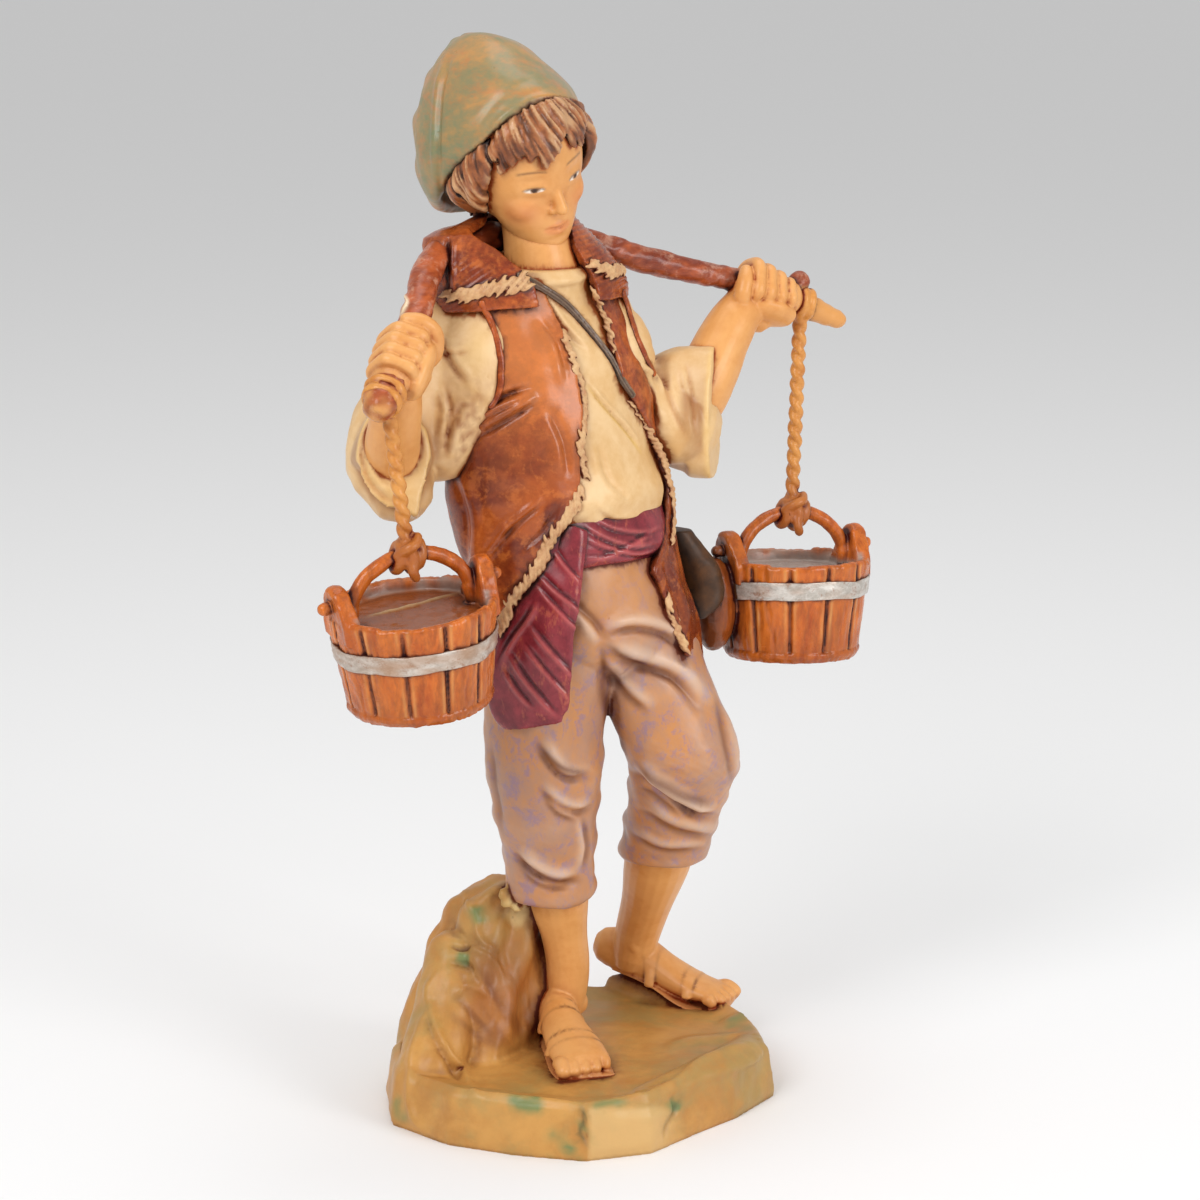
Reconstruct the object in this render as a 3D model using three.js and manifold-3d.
// A moulded nativity figure: a boy with a cap carries two wooden buckets on a yoke, on a rocky base.
// Millimetres, +Z up. The origin is the centre of the base's underside. The view from -Y is the show side.
import * as THREE from "three";
import { LoftGeometry } from "three/addons/geometries/LoftGeometry.js";
import { mergeVertices } from "three/addons/utils/BufferGeometryUtils.js";
import Module from "manifold-3d";

const wasm = await Module();
wasm.setup();

// Driving dimensions
const BOY_HEIGHT = 276; // from the base's top to the crown of the cap
const BASE_THICKNESS = 14;
const BASE_RADIUS = 51; // mean radius of the base's outline
const BUCKET_RIM_RADIUS = 21.5;
const BUCKET_FOOT_RADIUS = 18;
const BUCKET_HEIGHT = 27.5;
const BUCKET_WALL = 2.2;
const BUCKET_RECESS = 3.5; // from the rim down to the water
const STAVES = 12;
const STAVE_GROOVE = 0.9;
const HOOP_WIDTH = 5;
const HOOP_PROUD = 0.8;
const EAR_WIDTH = 16; // at the rim
const EAR_HEIGHT = 8.5;
const EAR_CROWN = 4.5; // radius of an ear's top
const EAR_THICKNESS = 4.5;
const HANDLE_RADIUS = 1.8;
const HANDLE_RISE = 12.8; // crown of the handle above the rim
const ROPE_RADIUS = 2.5;
const YOKE_RADIUS = 4.2;
const SOLE_THICKNESS = 1.6;
const TORSO_TURN = 35; // degrees that the boy's chest is turned to the right of the show side
const BUCKET_TURN = 26;

// The boy's own numbers are millimetres of a boy this tall, with z = 0 on the base's top.
const DRAWN_HEIGHT = 276;
const SCALE = BOY_HEIGHT / DRAWN_HEIGHT;
const at = (x, y, z) => new THREE.Vector3(x * SCALE, y * SCALE, z * SCALE + BASE_THICKNESS);
const rad = THREE.MathUtils.degToRad;

// A closed geometry as a manifold-3d solid, turned to face outwards.
function solid(geometry) {
  const bare = new THREE.BufferGeometry().setAttribute("position", geometry.getAttribute("position"));
  const merged = mergeVertices(bare.setIndex(geometry.index), 1e-4);
  const corners = merged.attributes.position;
  const triVerts = new Uint32Array(merged.index.array);
  const [a, b, c] = [new THREE.Vector3(), new THREE.Vector3(), new THREE.Vector3()];
  let volume = 0;
  for (let i = 0; i < triVerts.length; i += 3) {
    a.fromBufferAttribute(corners, triVerts[i]);
    b.fromBufferAttribute(corners, triVerts[i + 1]);
    c.fromBufferAttribute(corners, triVerts[i + 2]);
    volume += a.dot(b.cross(c));
  }
  if (volume < 0) triVerts.reverse();
  return new wasm.Manifold(new wasm.Mesh({ numProp: 3, vertProperties: corners.array, triVerts }));
}

// A closed solid through rings of points, wound so that its skin and its two end caps face the same way.
function loft(rings) {
  const middle = (ring) => ring.reduce((sum, p) => sum.add(p), new THREE.Vector3()).divideScalar(ring.length);
  const way = middle(rings[1]).sub(middle(rings[0]));
  const area = new THREE.Vector3();
  rings[0].forEach((p, i) => area.add(p.clone().cross(rings[0][(i + 1) % rings[0].length])));
  if (area.dot(way) < 0) rings.forEach((ring) => ring.reverse());
  return new LoftGeometry(rings, { capStart: true, capEnd: true });
}

// Smooth rows between the given rows of numbers: the first three are a place, the next two are half sizes.
function smooth(rows, steps) {
  const path = new THREE.CatmullRomCurve3(rows.map(([x, y, z]) => new THREE.Vector3(x, y, z)));
  const size = new THREE.CatmullRomCurve3(rows.map((r) => new THREE.Vector3(r[3], r[4] ?? r[3], 0)));
  return Array.from({ length: steps + 1 }, (_, i) => {
    const t = i / steps;
    return { place: path.getPoint(t), tangent: path.getTangent(t), size: size.getPoint(t), t };
  });
}

// The value at z of a table of [z, value] rows, lowest first.
function along(table, z) {
  if (z <= table[0][0]) return table[0][1];
  for (let i = 1; i < table.length; i++) {
    const [z0, v0] = table[i - 1];
    const [z1, v1] = table[i];
    if (z <= z1) return v0 + ((v1 - v0) * (z - z0)) / (z1 - z0);
  }
  return table[table.length - 1][1];
}

// A solid of level oval rings. Each row is x, y, z, half width, half depth; turn faces its front to the right.
// swell(angle, z) moves the skin out, with the angle in degrees from the front towards the boy's left.
function stack(rows, { turn = TORSO_TURN, sides = 20, steps = rows.length * 2, swell = () => 0 } = {}) {
  const left = new THREE.Vector3(Math.cos(rad(turn)), Math.sin(rad(turn)), 0);
  const front = new THREE.Vector3(Math.sin(rad(turn)), -Math.cos(rad(turn)), 0);
  const rings = smooth(rows, steps).map(({ place, size }) =>
    Array.from({ length: sides }, (_, i) => {
      const angle = (360 * i) / sides - 180;
      const [s, c] = [Math.sin(rad(angle)), Math.cos(rad(angle))];
      const out = swell(angle, place.z);
      const p = place.clone().addScaledVector(left, s * (size.x + out));
      p.addScaledVector(front, c * (size.y + out));
      return at(p.x, p.y, p.z);
    }),
  );
  return solid(loft(rings));
}

// A solid swept along a path. Each row is x, y, z, half width, half height; side gives the width's direction
// at the start. Round ends are domes, and twist turns the section along the way, in degrees.
function tube(rows, { sides = 8, steps = rows.length * 2, side = [1, 0, 0], round = true, twist = 0 } = {}) {
  const across = new THREE.Vector3(...side);
  const stations = smooth(rows, steps);
  if (round) {
    const [first, last] = [stations[0], stations[stations.length - 1]];
    const dome = (s, way, share, shrink) => ({
      ...s,
      place: s.place.clone().addScaledVector(s.tangent, way * share * Math.min(s.size.x, s.size.y)),
      size: s.size.clone().multiplyScalar(shrink),
    });
    stations.unshift(dome(first, -1, 0.85, 0.45));
    stations.push(dome(last, 1, 0.85, 0.45));
  }
  const rings = stations.map(({ place, tangent, size, t }) => {
    across.addScaledVector(tangent, -across.dot(tangent)).normalize();
    const high = new THREE.Vector3().crossVectors(tangent, across);
    return Array.from({ length: sides }, (_, i) => {
      const angle = (2 * Math.PI * i) / sides;
      const [c, s] = [Math.cos(angle) * size.x, Math.sin(angle) * size.y];
      const roll = rad(twist * t);
      const p = place.clone().addScaledVector(across, c * Math.cos(roll) - s * Math.sin(roll));
      p.addScaledVector(high, c * Math.sin(roll) + s * Math.cos(roll));
      return at(p.x, p.y, p.z);
    });
  });
  return solid(loft(rings));
}

// An ellipsoid at a place, turned about Z after a tip about X, in degrees.
function ball([x, y, z], [rx, ry, rz], { turn = 0, tip = 0, sides = 12, rings = 8 } = {}) {
  const geometry = new THREE.SphereGeometry(1, sides, rings).rotateX(Math.PI / 2).scale(rx, ry, rz);
  geometry.rotateX(rad(tip)).rotateZ(rad(turn)).scale(SCALE, SCALE, SCALE);
  return solid(geometry.translate(...at(x, y, z).toArray()));
}

// The base: a low rock slab with a broken outline, its corners given as shares of its mean radius.
const BASE_CORNERS = [1.03, 1.04, 1.12, 1.04, 1, 1.02, 1.06, 1.06, 1.08, 1.12, 1.02, 0.94, 0.95, 0.91, 0.82, 0.88];
const BASE_TOP_INSET = 4;
const BASE_EDGE_RISE = 1.5; // how far the top's edge stands over the ground in its middle
function baseSlab() {
  const outline = (inset, z) =>
    BASE_CORNERS.map((share, i) => {
      const angle = (2 * Math.PI * i) / BASE_CORNERS.length;
      const r = BASE_RADIUS * share - inset;
      return new THREE.Vector3(r * Math.cos(angle), r * Math.sin(angle), z);
    });
  const rim = BASE_THICKNESS + BASE_EDGE_RISE;
  const slab = [outline(1, 0), outline(0, 3), outline(BASE_TOP_INSET * 0.5, rim - 2), outline(BASE_TOP_INSET, rim)];
  slab.push(outline(BASE_TOP_INSET + 7, BASE_THICKNESS - 0.3), outline(BASE_RADIUS * 0.6, BASE_THICKNESS));
  return solid(loft(slab));
}
const BUTTRESS = [[-43, -16, -4, 9], [-41, -11, 2, 9], [-38, -3, 10, 9], [-36, 5, 24, 8]];
const BROKEN_EDGE = [[16, -34, -1, 4, 2.4], [30, -20, 0, 5, 3], [42, -6, 0, 6, 3], [46, 8, -1, 4, 2]];

// The rock behind the standing leg.
const ROCK = [
  [-33, 10, -12, 21, 27], [-31.5, 12, 0, 20, 24], [-29.5, 13, 14, 17, 20], [-27.5, 14, 25, 15, 17],
  [-25.5, 14, 33, 12.5, 14.5], [-25, 14, 42, 12, 12], [-23, 13, 48, 10, 9], [-20, 12, 52, 6, 6],
];
const rockSwell = (angle, z) => 1.6 * Math.sin(rad(angle * 4 + z * 5)) + 1.0 * Math.sin(rad(angle * 7 - z * 9));

// Legs: bare shins and sandalled feet.
const RIGHT_SHIN = [[-8, 3, 56, 7.6], [-7, 5, 42, 7.4], [-6, 8, 28, 6.4], [-6, 10, 14, 5.8], [-7, 12, 5, 5.6]];
const LEFT_SHIN = [[23, 24, 58, 7.8], [20, 31, 44, 7.6], [17.5, 38, 30, 6.8], [15.5, 43, 18, 6.4], [14, 44.5, 12, 5.8]];
const RIGHT_FOOT = [[-9, 16, 6, 4.5, 5], [-8, 8, 8, 6, 7.5], [-6, -2, 7, 7, 6], [-3, -12, 5, 8.2, 4.2], [-0.5, -20, 4, 8.4, 3]];
const LEFT_FOOT = [[7, 48, 14, 4.6, 5], [14, 46, 12.5, 6, 7.5], [23, 43, 8, 7, 6], [31, 40, 5, 7.8, 4.2], [37, 37.5, 4, 7.8, 3]];
const TOES = 5;
const TOE_WIDTH = 3.3;

// A foot: its body, a lobed plate for the toes and a thin sole.
function foot(rows, heading) {
  const side = [-Math.sin(rad(heading)), Math.cos(rad(heading)), 0];
  const [x, y] = rows[rows.length - 1];
  const outline = new THREE.Shape();
  const half = (TOES * TOE_WIDTH) / 2;
  outline.moveTo(-4, -half);
  for (let i = 0; i < TOES; i++) {
    const reach = 5.6 - Math.abs(i - 3) * 0.7;
    const from = -half + i * TOE_WIDTH;
    outline.lineTo(reach - 1.4, from + 0.4);
    outline.lineTo(reach, from + TOE_WIDTH / 2);
    outline.lineTo(reach - 1.4, from + TOE_WIDTH - 0.4);
  }
  outline.lineTo(-4, half);
  const plate = new THREE.ExtrudeGeometry(outline, { depth: 3.6, bevelEnabled: false });
  plate.rotateZ(rad(heading)).scale(SCALE, SCALE, SCALE).translate(...at(x, y, 0.4).toArray());
  return [tube(rows, { side, sides: 8, steps: 3 }), solid(plate)];
}

// Straps over a foot: hoops round it at a place on its way.
function sandalStrap([x, y, z], heading, half, high) {
  const [dx, dy] = [Math.cos(rad(heading)), Math.sin(rad(heading))];
  const hoop = [-1, -0.75, 0, 0.75, 1].map((k) => {
    const lift = z + high * Math.sqrt(Math.max(0, 1 - k * k * 0.92)) - 0.4;
    return [x - dy * half * k, y + dx * half * k, lift, 2.2, 1.1];
  });
  return tube(hoop, { side: [dx, dy, 0], sides: 4, steps: 4, round: false });
}

// Trousers, rolled below the knee.
const HIPS = [[4, -4, 112, 23, 16.5], [2.5, -4, 124, 25, 18], [-2, -4, 137, 26, 18], [-5, -4, 150, 25, 16]];
const RIGHT_TROUSER = [
  [-5, -4, 124, 18, 17], [-9, -4, 110, 17.5, 17], [-11, -4.5, 94, 16.4, 15.5], [-11, -4, 80, 15.6, 14.6],
  [-10.5, -1, 66, 14, 13.6], [-10, 2, 54, 12.6, 12.4], [-9.5, 3, 44, 11.6, 11.6],
];
const LEFT_TROUSER = [
  [13, 4, 124, 16, 16], [15.5, 5, 111, 16.4, 16], [20.5, 4, 98, 16.4, 16], [26.5, 3, 84, 15.8, 15.6],
  [25.5, 11, 71, 14.2, 14], [23.5, 19, 59, 13.4, 13], [22, 24, 49, 12.8, 12.6],
];
const trouserSwell = (angle, z) => {
  const fold = Math.sin(rad(z * 26 + angle * 1.6));
  return z < 100 && z > 48 ? 1.3 * Math.max(0, fold) * Math.cos(rad(angle / 2)) : 0.5 * Math.sin(rad(angle * 3));
};

// Shirt, neck and waist.
const TORSO = [
  [-5, -4, 146, 28.5, 17.5], [-6.8, -4, 158, 30, 19.5], [-9, -4, 170, 29.4, 19.4], [-9.6, -3, 182, 28.4, 19],
  [-11, -3, 192, 26.8, 17.8], [-12.4, -2, 202, 25.4, 15.4], [-13.4, -2, 211, 23, 12], [-13, -2, 218, 12, 9],
];
const NECK = [[-9.5, -3, 208, 8.5], [-11.5, -4, 220, 7.8], [-15, -5, 234, 8]];

// The fur-lined vest: a coat over shirt and hips that hangs open in front.
const VEST = [
  [4, -4, 110, 29, 21], [2.5, -4, 120, 30, 21], [-1.4, -4, 131, 30.5, 20.5], [-5.6, -4, 147, 31.5, 20.5], [-6.8, -4, 158, 32.5, 21],
  [-9.2, -4, 170, 31, 20.8], [-9.5, -3, 182, 30, 20.4], [-11, -3, 192, 28.5, 19.2], [-12.5, -2, 202, 27, 16.8], [-13.5, -2, 212, 25, 13.4],
];
const RIGHT_EDGE = [[110, -150], [118, -110], [127, -77], [138, -52], [148, -28], [156, -15], [174, -5], [190, -7], [204, -8]];
const LEFT_EDGE = [[112, 64], [121, 44], [134, 44], [147, 62], [161, 50], [171, 39], [195, 21], [206, 25], [212, 25]];
const OPEN_DEPTH = 4.5; // how far the opened front sinks under the shirt
function vestSwell(angle, z) {
  const open = angle > along(RIGHT_EDGE, z) && angle < along(LEFT_EDGE, z);
  return open ? -OPEN_DEPTH : 0.6 * Math.sin(rad(angle * 4 + z * 3));
}

// A point on the vest's skin, a little proud of it, for what is laid on the vest.
function onVest(angle, z, proud = 0) {
  const rows = VEST;
  const x = along(rows.map((r) => [r[2], r[0]]), z);
  const y = along(rows.map((r) => [r[2], r[1]]), z);
  const a = along(rows.map((r) => [r[2], r[3]]), z) + proud;
  const b = along(rows.map((r) => [r[2], r[4]]), z) + proud;
  const [s, c] = [Math.sin(rad(angle)) * a, Math.cos(rad(angle)) * b];
  const [ct, st] = [Math.cos(rad(TORSO_TURN)), Math.sin(rad(TORSO_TURN))];
  return [x + s * ct + c * st, y + s * st - c * ct, z];
}
const FUR_RADIUS = 1.9;
const furEdge = (table, from, to) =>
  Array.from({ length: 9 }, (_, i) => {
    const z = from + ((to - from) * i) / 8;
    return [...onVest(along(table, z), z, -0.6), FUR_RADIUS + 0.35 * (i % 2), FUR_RADIUS];
  });

// The vest's broad collar lies over the shoulders and the yoke, open in front, with a fringe of fur below it.
const COLLAR = [
  [-14.5, -2, 209, 27.5, 16.5], [-14.5, -2, 214, 27, 16], [-15, -2, 219, 23.5, 14], [-15.5, -1, 224, 18.5, 12.5], [-17, 1, 229, 13, 10.5],
];
const collarSwell = (angle) => (angle > -26 && angle < 26 ? -6 : 0);
const fringe = (from, to) => Array.from({ length: 5 }, (_, i) => {
  const angle = rad(from + ((to - from) * i) / 4);
  const [s, c] = [Math.sin(angle) * 26.8, Math.cos(angle) * 16];
  const [ct, st] = [Math.cos(rad(TORSO_TURN)), Math.sin(rad(TORSO_TURN))];
  return [-14.5 + s * ct + c * st, -2 + s * st - c * ct, 211 + 1.5 * Math.cos(angle), 2.4, 2.4];
});

// Sash round the waist, with its end hanging over the right thigh.
const SASH = [[-2.5, -4, 136, 27.5, 19], [-3.5, -4, 140, 29, 20], [-4.6, -4, 146, 29.6, 19.8], [-5, -4, 151, 28.6, 18.6]];
const sashSwell = (angle, z) => 0.5 * Math.sin(rad(z * 60 + angle * 2));
const SASH_TAIL = [[-5, -23, 148, 5, 2.6], [-9, -26, 138, 8, 3], [-13, -27, 124, 10, 3], [-15, -27, 110, 11, 2.8], [-15.5, -26, 98, 9.5, 2]];

// Shoulder strap and the satchel that it carries at the left hip.
const STRAP = [-6, 8, 22, 38, 54, 70].map((angle, i) => [...onVest(angle - 6, 212 - i * 9, -0.8), 2.4, 1.8]);
const SATCHEL = [[30.5, 15, 111, 7.5, 9], [33, 17.5, 119, 10.5, 12.5], [31, 18, 130, 9.5, 10], [25, 16, 143, 5, 4]];

// Arms: a wide sleeve rolled above the elbow, a bare forearm and a fist on the yoke.
const RIGHT_SLEEVE = [[-33, -10, 208, 8, 8], [-40, -15, 198, 11, 11], [-46, -20, 183, 12, 12], [-49.5, -25, 170, 12.5, 12], [-47, -31, 163, 9, 8.5]];
const LEFT_SLEEVE = [[4, 10, 198, 6, 6], [10, 12, 187, 8, 8], [17, 13, 177, 11, 11.5], [25, 15, 173, 12, 14.5]];
const RIGHT_FOREARM = [[-49, -27, 164, 6.6], [-49, -36, 174, 6.9], [-47.5, -44, 184, 6.2], [-46, -50, 193, 5.4]];
const LEFT_FOREARM = [[25, 14, 172, 6.6], [32, 18, 183, 7], [38.5, 24, 196, 6.2], [44, 30, 203, 5.4]];
const RIGHT_CUFF = [[-49.5, -27.5, 161, 8, 10], [-49, -32, 166, 11, 13], [-48.5, -35.5, 172, 11.5, 13.5]];
const LEFT_CUFF = [[24, 14, 170, 11.5, 14.5], [29, 15.5, 173, 12.5, 15.5], [31.5, 16.5, 174.5, 12, 15]];

// A fist round the yoke: knuckled rings, a wrist side and a thumb. way is along the yoke, out is the hand's back.
const FIST_LENGTH = 16;
function fist(centre, way, out) {
  const axis = new THREE.Vector3(...way).normalize();
  const back = new THREE.Vector3(...out);
  back.addScaledVector(axis, -back.dot(axis)).normalize();
  const over = new THREE.Vector3().crossVectors(axis, back);
  const spot = (a, b, c) =>
    new THREE.Vector3(...centre).addScaledVector(axis, a).addScaledVector(back, b).addScaledVector(over, c).toArray();
  const rings = Array.from({ length: 9 }, (_, k) => {
    const knuckle = k % 2 === 1 ? 0.9 : 0;
    const share = k === 0 || k === 8 ? 0.86 : 1;
    return Array.from({ length: 9 }, (_, i) => {
      const turn = (2 * Math.PI * i) / 9;
      const r = (YOKE_RADIUS + 3.4 + knuckle) * share;
      return at(...spot((k / 8 - 0.5) * FIST_LENGTH, Math.cos(turn) * (r + 0.6) + 1.4, Math.sin(turn) * r));
    });
  });
  const thumb = [[-7, 6, -3, 2.6], [-6.5, 2, -8, 2.6], [-3, -4, -8.4, 2.3]].map(([a, b, c, r]) => [...spot(a, b, c), r]);
  return [solid(loft(rings)), tube(thumb, { side: axis.toArray(), sides: 5, steps: 2 })];
}
const RIGHT_FIST = [-46, -53, 200];
const LEFT_FIST = [49, 33, 205];

// The yoke: a bent branch from fist to fist behind the neck.
const YOKE = [
  [-50, -66, 191.5, 1], [-47, -57, 197, 0.95], [-42.5, -42, 208.5, 1], [-40, -22, 221, 1.08], [-32.5, -5, 228, 1.1],
  [-18, 9, 228, 1.1], [-2, 16, 223, 1.05], [14, 22, 216, 1.05], [32, 28, 210.5, 1], [50, 35, 205.5, 0.9],
  [61, 40, 200, 0.75], [70, 44, 196.5, 0.45],
].map(([x, y, z, share]) => [x, y, z, (YOKE_RADIUS * share) / SCALE]);
const YOKE_STUB = [[55, 37, 203, 3.2], [59, 38.5, 207.5, 3.2]];

// The head, in a frame of its own: +X its left, -Y its face, +Z its crown.
const HEAD_CENTRE = [-19, -5, 245.5];
const HEAD_TURN = 37;
const HEAD_NOD = 12;
const HEAD_LEAN = -15; // towards the boy's right shoulder
const headFrame = new THREE.Matrix4()
  .makeTranslation(...at(...HEAD_CENTRE).toArray())
  .multiply(new THREE.Matrix4().makeRotationZ(rad(HEAD_TURN)))
  .multiply(new THREE.Matrix4().makeRotationX(rad(HEAD_NOD)))
  .multiply(new THREE.Matrix4().makeRotationY(rad(HEAD_LEAN)))
  .multiply(new THREE.Matrix4().makeScale(SCALE, SCALE, SCALE));
function headBall([x, y, z], [rx, ry, rz], sides = 12, rings = 8, tip = 0) {
  const geometry = new THREE.SphereGeometry(1, sides, rings).rotateX(Math.PI / 2).scale(rx, ry, rz);
  return solid(geometry.rotateX(rad(tip)).translate(x, y, z).applyMatrix4(headFrame));
}
const inHead = (x, y, z) => new THREE.Vector3(x, y, z).applyMatrix4(headFrame);
function head() {
  return [
    headBall([0, 1, 3], [16, 18.5, 19], 12, 8),
    headBall([0, -5, -7], [12.4, 12.2, 14.6], 12, 8),
    headBall([0, -10.5, -16], [6, 5.5, 5], 8, 5),
    headBall([0, -17.4, -4.5], [2, 2.6, 4.2], 6, 5, -14),
  ];
}

// Hair: a lobed shell under the cap, short over the forehead and longer at the ears and the nape.
const HAIR_LOCKS = 11;
function hair() {
  const sides = HAIR_LOCKS * 2;
  const ring = (share, drop) =>
    Array.from({ length: sides }, (_, i) => {
      const angle = (360 * i) / sides - 180;
      const face = Math.abs(angle) < 62;
      const foot = face ? 6 : -13 + (Math.abs(angle) < 100 ? 2 : -2);
      const lock = i % 2 === 0 ? 0 : 1;
      const z = 17 + (foot - lock * 2.4 * drop - 17) * drop;
      const r = share * (face ? 1.08 : 1.12 + 0.05 * lock);
      const [s, c] = [Math.sin(rad(angle)), Math.cos(rad(angle))];
      return inHead(s * 16 * r, 1 - c * 18.5 * r, z);
    });
  return solid(loft([ring(0.62, 0), ring(1, 0.4), ring(1, 0.8), ring(0.93, 1), ring(0.7, 1.01)]));
}

// The soft cap: level rings about an axis that leans back, from its brim to its crown.
const CAP_LEAN = 40;
const CAP = [
  [-9, 18.6, 22, 4], [-5, 20.6, 23.5, 4.4], [2, 20.8, 23, 5.2], [9, 19.4, 21, 5.6], [15, 16.2, 17.4, 5], [20, 11.6, 12.4, 4], [24, 6, 6.4, 2.6],
  [25.6, 1.6, 1.8, 2],
];
function cap() {
  const lean = new THREE.Matrix4().makeTranslation(0, 1.5, 7).multiply(new THREE.Matrix4().makeRotationX(rad(-CAP_LEAN)));
  const rings = smooth(CAP.map(([h, a, b, back]) => [0, back, h, a, b]), 8).map(({ place, size }) =>
    Array.from({ length: 14 }, (_, i) => {
      const angle = (2 * Math.PI * i) / 14;
      const pleat = 1 + 0.02 * Math.sin(angle * 5 + place.z * 0.3);
      const p = new THREE.Vector3(Math.sin(angle) * size.x * pleat, place.y - Math.cos(angle) * size.y * pleat, place.z);
      return p.applyMatrix4(lean).applyMatrix4(headFrame);
    }),
  );
  return solid(loft(rings));
}

// A staved bucket with a hoop, two ears, a bow handle and the rope's knot, in a frame with the rim's centre at z = 0.
function bucket(rimCentre, tilt) {
  const place = new THREE.Matrix4()
    .makeTranslation(...at(...rimCentre).toArray())
    .multiply(new THREE.Matrix4().makeRotationZ(rad(BUCKET_TURN)))
    .multiply(new THREE.Matrix4().makeRotationY(rad(tilt)));
  const put = (geometry) => solid(geometry.applyMatrix4(place));
  const sides = STAVES * 2;
  const ring = (radius, z, groove) =>
    Array.from({ length: sides }, (_, i) => {
      const angle = (2 * Math.PI * i) / sides;
      const r = radius - (i % 2 === 0 ? groove : 0);
      return new THREE.Vector3(r * Math.cos(angle), r * Math.sin(angle), z);
    });
  const radiusAt = (z) => BUCKET_RIM_RADIUS + ((BUCKET_FOOT_RADIUS - BUCKET_RIM_RADIUS) * -z) / BUCKET_HEIGHT;
  const hoopTop = -BUCKET_HEIGHT * 0.27;
  const hoopFoot = hoopTop - HOOP_WIDTH;
  const chine = -BUCKET_HEIGHT + 3;
  const inner = BUCKET_RIM_RADIUS - BUCKET_WALL;
  const wall = [
    ring(BUCKET_FOOT_RADIUS, -BUCKET_HEIGHT, 0), ring(radiusAt(chine) + 0.4, chine, 0),
    ring(radiusAt(chine), chine + 0.5, STAVE_GROOVE), ring(radiusAt(hoopFoot), hoopFoot - 0.3, STAVE_GROOVE),
    ring(radiusAt(hoopFoot) + HOOP_PROUD, hoopFoot, 0), ring(radiusAt(hoopTop) + HOOP_PROUD, hoopTop, 0),
    ring(radiusAt(hoopTop), hoopTop + 0.3, STAVE_GROOVE), ring(BUCKET_RIM_RADIUS, 0, STAVE_GROOVE),
  ];
  const hollow = new THREE.CylinderGeometry(inner + 0.2, inner - 0.8, BUCKET_RECESS * 2, 16).rotateX(Math.PI / 2);
  const parts = [put(loft(wall)).subtract(put(hollow))];
  const reach = BUCKET_RIM_RADIUS - EAR_THICKNESS * 0.35;
  for (const side of [-1, 1]) {
    const ear = new THREE.Shape();
    const shoulder = EAR_HEIGHT - EAR_CROWN;
    ear.moveTo(EAR_WIDTH / 2, -5);
    ear.lineTo(-EAR_WIDTH / 2, -5);
    ear.lineTo(-EAR_WIDTH / 2, 0);
    ear.absarc(0, shoulder, EAR_CROWN, Math.PI * 0.85, Math.PI * 0.15, true);
    ear.lineTo(EAR_WIDTH / 2, 0);
    const plate = new THREE.ExtrudeGeometry(ear, { depth: EAR_THICKNESS, bevelEnabled: false, curveSegments: 3 });
    plate.translate(0, 0, -EAR_THICKNESS / 2).rotateX(Math.PI / 2).rotateZ(Math.PI / 2).translate(side * reach, 0, 0);
    parts.push(put(plate));
    parts.push(put(new THREE.CylinderGeometry(1.6, 1.6, 3, 5).rotateZ(Math.PI / 2).translate(side * (reach + EAR_THICKNESS / 2 + 0.4), 0, 3)));
  }
  const bow = [];
  for (let i = 0; i <= 6; i++) {
    const angle = rad(180 - 30 * i);
    const centre = new THREE.Vector3(Math.cos(angle) * reach, 0, 3 + Math.sin(angle) * (HANDLE_RISE - 3));
    const out = new THREE.Vector3(Math.cos(angle), 0, Math.sin(angle));
    bow.push(Array.from({ length: 5 }, (_, k) => {
      const turn = (2 * Math.PI * k) / 5;
      const p = centre.clone().addScaledVector(out, Math.cos(turn) * HANDLE_RADIUS);
      return p.add(new THREE.Vector3(0, Math.sin(turn) * HANDLE_RADIUS, 0));
    }));
  }
  parts.push(put(loft(bow)));
  parts.push(put(new THREE.SphereGeometry(1, 6, 5).scale(4, 4, 5.6).translate(0, 0, HANDLE_RISE)));
  return parts;
}
const RIGHT_BUCKET = [-43.6, -53, 138.6];
const LEFT_BUCKET = [57.2, 36, 130.8];

// A two-strand rope that hangs from the yoke to a bucket's knot: an oval section that twists.
const ROPE_TWIST = 180 / 9; // degrees for each millimetre of rope
function rope(top, bucketPlace) {
  const knot = [bucketPlace[0], bucketPlace[1], bucketPlace[2] + HANDLE_RISE / SCALE + 3];
  const length = top[2] - knot[2];
  const r = ROPE_RADIUS / SCALE;
  const rows = [0, 0.33, 0.66, 1].map((t) => [...top.map((v, i) => v + (knot[i] - v) * t), r * 1.12, r * 0.8]);
  return tube(rows, { sides: 5, steps: Math.round(length / 3.6), twist: ROPE_TWIST * length, round: false });
}
const RIGHT_ROPE_TOP = [-48.5, -62, 193];
const LEFT_ROPE_TOP = [59, 38.5, 203];
function ropeLoop(centre, tilt) {
  const ringOf = new THREE.TorusGeometry(YOKE_RADIUS + ROPE_RADIUS * 0.5, ROPE_RADIUS * 0.95, 4, 6);
  ringOf.rotateX(Math.PI / 2).rotateY(0).rotateZ(rad(tilt));
  return solid(ringOf.translate(...at(...centre).toArray()));
}

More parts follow.
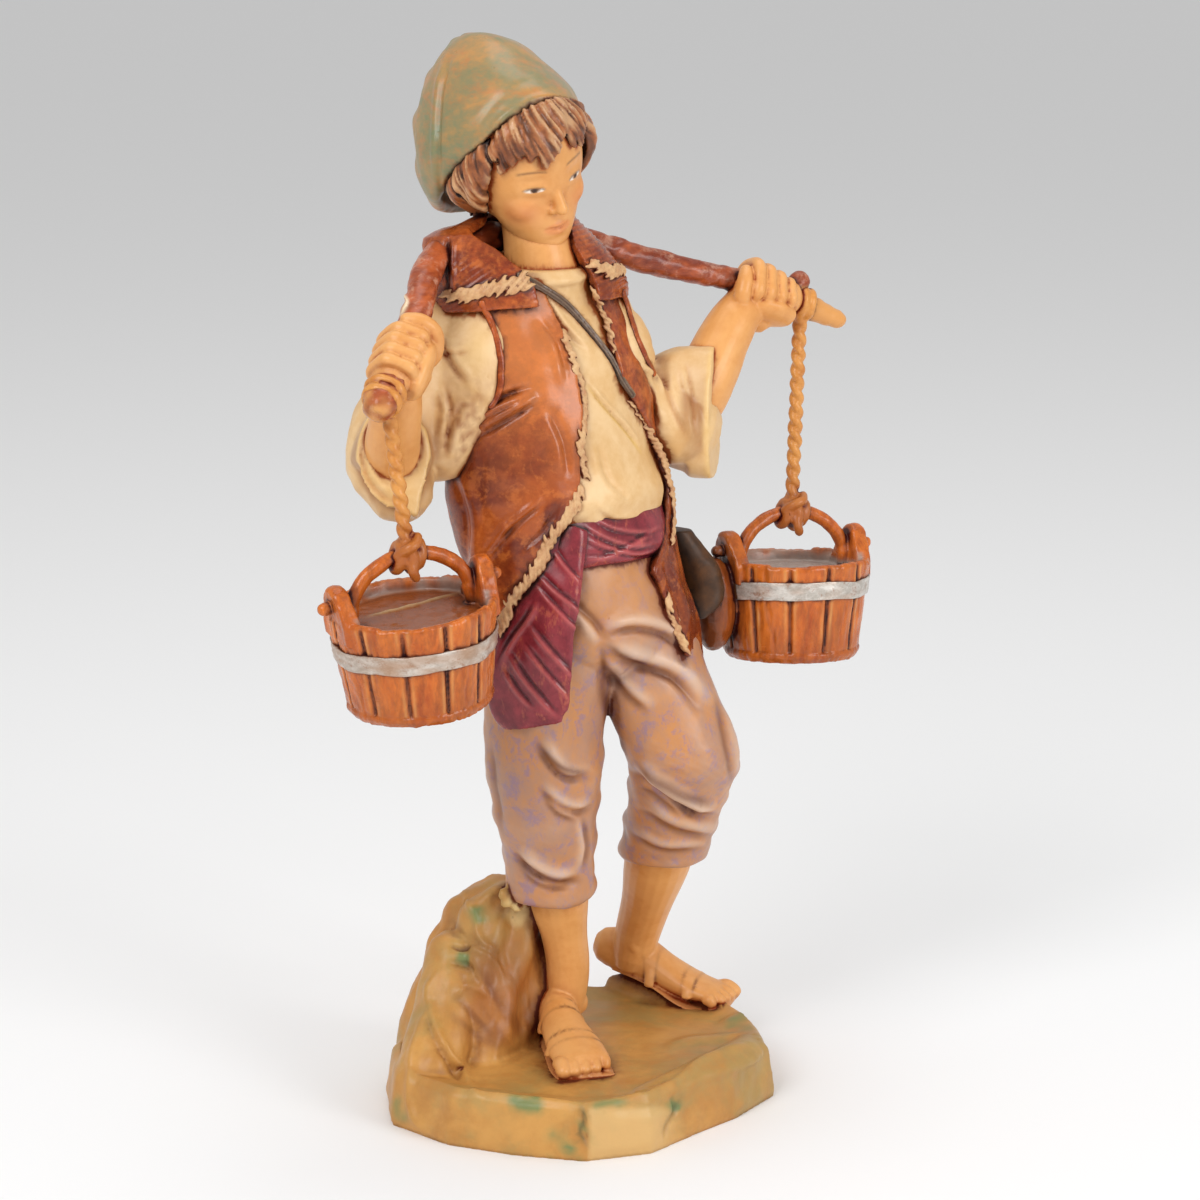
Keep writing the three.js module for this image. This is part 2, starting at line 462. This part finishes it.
function figure() {
  const parts = [
    baseSlab(), tube(BROKEN_EDGE, { sides: 6, steps: 4 }), tube(BUTTRESS, { sides: 8, steps: 4 }),
    stack(ROCK, { turn: 0, sides: 12, steps: 6, swell: rockSwell }),
    tube(RIGHT_SHIN, { sides: 8, steps: 3 }), tube(LEFT_SHIN, { sides: 8, steps: 3 }),
    ...foot(RIGHT_FOOT, -76), ...foot(LEFT_FOOT, -19),
    sandalStrap([-6.5, 1, 4], -76, 7.6, 9.6), sandalStrap([-2.8, -12, 3], -76, 8.6, 6.8),
    sandalStrap([20, 43.5, 4], -19, 7.6, 10.4), sandalStrap([31, 40, 3], -19, 8.2, 6.8),
    stack(HIPS, { sides: 16, steps: 3 }),
    stack(RIGHT_TROUSER, { turn: 10, sides: 12, steps: 9, swell: trouserSwell }),
    stack(LEFT_TROUSER, { turn: 60, sides: 12, steps: 9, swell: trouserSwell }),
    stack(TORSO, { sides: 16, steps: 8 }), tube(NECK, { sides: 10, steps: 2, round: false }),
    stack(VEST, { sides: 24, steps: 11, swell: vestSwell }), stack(COLLAR, { sides: 16, steps: 4, swell: collarSwell }),
    tube(fringe(-100, -24), { sides: 4, steps: 4 }), tube(fringe(24, 90), { sides: 4, steps: 4 }),
    tube(furEdge(RIGHT_EDGE, 128, 204), { sides: 4, steps: 7 }), tube(furEdge(LEFT_EDGE, 113, 204), { sides: 4, steps: 6 }),
    stack(SASH, { sides: 16, steps: 3, swell: sashSwell }), tube(SASH_TAIL, { side: [0.95, -0.3, 0], sides: 8, steps: 5, round: false }),
    tube(STRAP, { side: [0.5, -0.1, 0.8], sides: 4, steps: 5 }), stack(SATCHEL, { turn: 60, sides: 10, steps: 4 }),
    tube(RIGHT_SLEEVE, { sides: 10, steps: 5 }), tube(LEFT_SLEEVE, { sides: 10, steps: 4 }),
    tube(RIGHT_CUFF, { sides: 10, steps: 2, round: false }), tube(LEFT_CUFF, { sides: 10, steps: 2, round: false }),
    tube(RIGHT_FOREARM, { sides: 8, steps: 3 }), tube(LEFT_FOREARM, { sides: 8, steps: 3 }),
    ...fist(RIGHT_FIST, [-0.2, -0.75, -0.5], [0.9, 0.1, -0.3]), ...fist(LEFT_FIST, [0.82, 0.4, -0.38], [-0.2, -0.5, -0.8]),
    tube(YOKE, { side: [0, 0, 1], sides: 6, steps: 12 }), tube(YOKE_STUB, { sides: 5, steps: 1 }),
    ...head(), hair(), cap(),
    ...bucket(RIGHT_BUCKET, -4.5), ...bucket(LEFT_BUCKET, 0),
    rope(RIGHT_ROPE_TOP, RIGHT_BUCKET), rope(LEFT_ROPE_TOP, LEFT_BUCKET),
    ropeLoop([-49, -62, 193.5], 10), ropeLoop([59, 39, 201], 60),
  ];
  return wasm.Manifold.union(parts);
}

// The outer skin of a joined solid: its largest connected shell, so what the pieces enclose is solid plastic.
function outerShell(made) {
  const mesh = made.getMesh();
  const triangles = mesh.triVerts;
  const parent = Array.from({ length: mesh.numVert }, (_, i) => i);
  const rootOf = (i) => {
    while (parent[i] !== i) i = parent[i] = parent[parent[i]];
    return i;
  };
  for (let t = 0; t < triangles.length; t += 3) {
    parent[rootOf(triangles[t])] = rootOf(triangles[t + 1]);
    parent[rootOf(triangles[t + 1])] = rootOf(triangles[t + 2]);
  }
  const shells = new Map();
  for (let t = 0; t < triangles.length; t += 3) {
    const root = rootOf(triangles[t]);
    if (!shells.has(root)) shells.set(root, []);
    shells.get(root).push(triangles[t], triangles[t + 1], triangles[t + 2]);
  }
  const largest = [...shells.values()].reduce((a, b) => (a.length > b.length ? a : b));
  const places = [];
  const index = new Map();
  for (const corner of largest) {
    if (index.has(corner)) continue;
    index.set(corner, places.length / 3);
    const start = corner * mesh.numProp;
    places.push(...mesh.vertProperties.subarray(start, start + 3));
  }
  const geometry = new THREE.BufferGeometry();
  geometry.setAttribute("position", new THREE.Float32BufferAttribute(places, 3));
  geometry.setIndex(largest.map((corner) => index.get(corner)));
  geometry.computeVertexNormals();
  return geometry;
}

const plastic = new THREE.MeshStandardMaterial({ color: 0xc98a4b, roughness: 0.45, metalness: 0 });
const part = new THREE.Group();
const carrier = new THREE.Mesh(outerShell(figure()), plastic);
carrier.name = "water_carrier";
part.add(carrier);
export default part;
